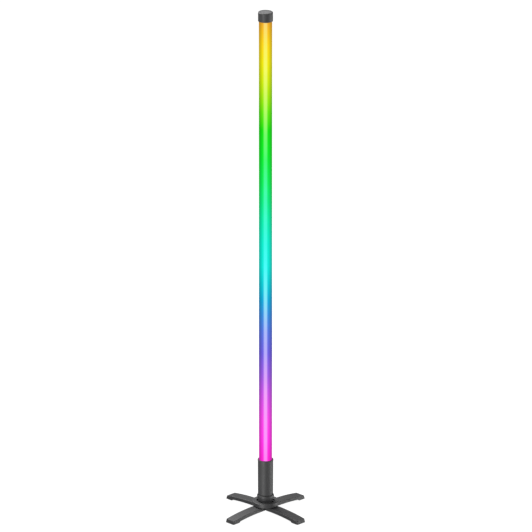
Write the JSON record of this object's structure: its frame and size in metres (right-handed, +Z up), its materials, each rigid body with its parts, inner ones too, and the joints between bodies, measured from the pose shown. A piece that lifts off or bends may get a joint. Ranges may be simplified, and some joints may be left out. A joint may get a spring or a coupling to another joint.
{
  "type": "led light tube",
  "caption": "Tall free-standing light tube: a milky colour-changing diffuser tube between a dark cap and a sleeve, plugged upright into a low X-shaped floor base.",
  "frame": {"origin": "on the floor under the tube's axis, at the centre of the foot pads' undersides", "axes": "+Z up along the tube, -Y towards the front, legs on the diagonals between X and Y, buttons and inlet at the back (+Y)"},
  "size_m": [0.1842, 0.1842, 1.219],
  "materials": {
    "leg_plastic": "charcoal, fine moulded grain",
    "hub_plastic": "charcoal, satin moulded",
    "sleeve_plastic": "charcoal, satin, fine grain",
    "cap_plastic": "charcoal, satin",
    "inlay_plastic": "lighter charcoal disc",
    "plug_plastic": "black inner moulding",
    "button_plastic": "dark satin button",
    "pad_rubber": "black anti-slip pad",
    "seal_rubber": "black soft seal",
    "diffuser": "milky light-spreading acrylic, lit in a colour gradient when on",
    "zinc_steel": "plain zinc-plated sheet",
    "screw_steel": "zinc-plated screw",
    "port_steel": "nickel-plated shell",
    "carrier_aluminium": "mill-finish extrusion",
    "strip_board": "white-coated circuit strip",
    "chip_lens": "light package with clear lens",
    "wire_jacket": "thin red lead",
    "driver_laminate": "green circuit board",
    "chip_black": "black component",
    "capacitor_can": "capacitor can"
  },
  "bodies": {
    "base": {"lower_leg_bar": "leg_plastic", "upper_leg_bar": "leg_plastic", "foot_pad_front_left": "pad_rubber", "foot_pad_front_right": "pad_rubber", "foot_pad_rear_left": "pad_rubber", "foot_pad_rear_right": "pad_rubber", "hub_disc": "hub_plastic", "socket_cup": "hub_plastic", "under_plate": "zinc_steel", "hub_screws": "screw_steel"},
    "tube": {"sleeve": "sleeve_plastic", "spigot_plug": "plug_plastic", "plug_screws": "screw_steel", "sleeve_gasket": "seal_rubber", "diffuser_tube": "diffuser", "bottom_plug": "plug_plastic", "top_plug": "plug_plastic", "top_cap": "cap_plastic", "cap_inlay": "inlay_plastic", "cap_screw": "screw_steel", "led_carrier": "carrier_aluminium", "led_strip_front": "strip_board", "led_strip_back": "strip_board", "led_chips_front": "chip_lens", "led_chips_back": "chip_lens", "lead_wires_front": "wire_jacket", "lead_wires_back": "wire_jacket", "driver_board": "driver_laminate", "controller_module": "chip_black", "power_coil": "chip_black", "capacitors": "capacitor_can", "tact_switches": "chip_black", "usb_shell": "port_steel", "usb_tongue": "chip_black"},
    "power_key": {"power_button": "button_plastic"},
    "mode_key": {"mode_button": "button_plastic"}
  },
  "joints": [
    {"name": "tube_lift", "type": "slide", "parent": "base", "child": "tube", "axis": [0, 0, 1], "range_m": [0, 0.03]},
    {"name": "power_press", "type": "slide", "parent": "tube", "child": "power_key", "axis": [0, -1, 0], "range_m": [0, 0.0008], "stiffness_N_per_m": 600, "springref_m": -0.0006},
    {"name": "mode_press", "type": "slide", "parent": "tube", "child": "mode_key", "axis": [0, -1, 0], "range_m": [0, 0.0008], "stiffness_N_per_m": 600, "springref_m": -0.0006}
  ]
}
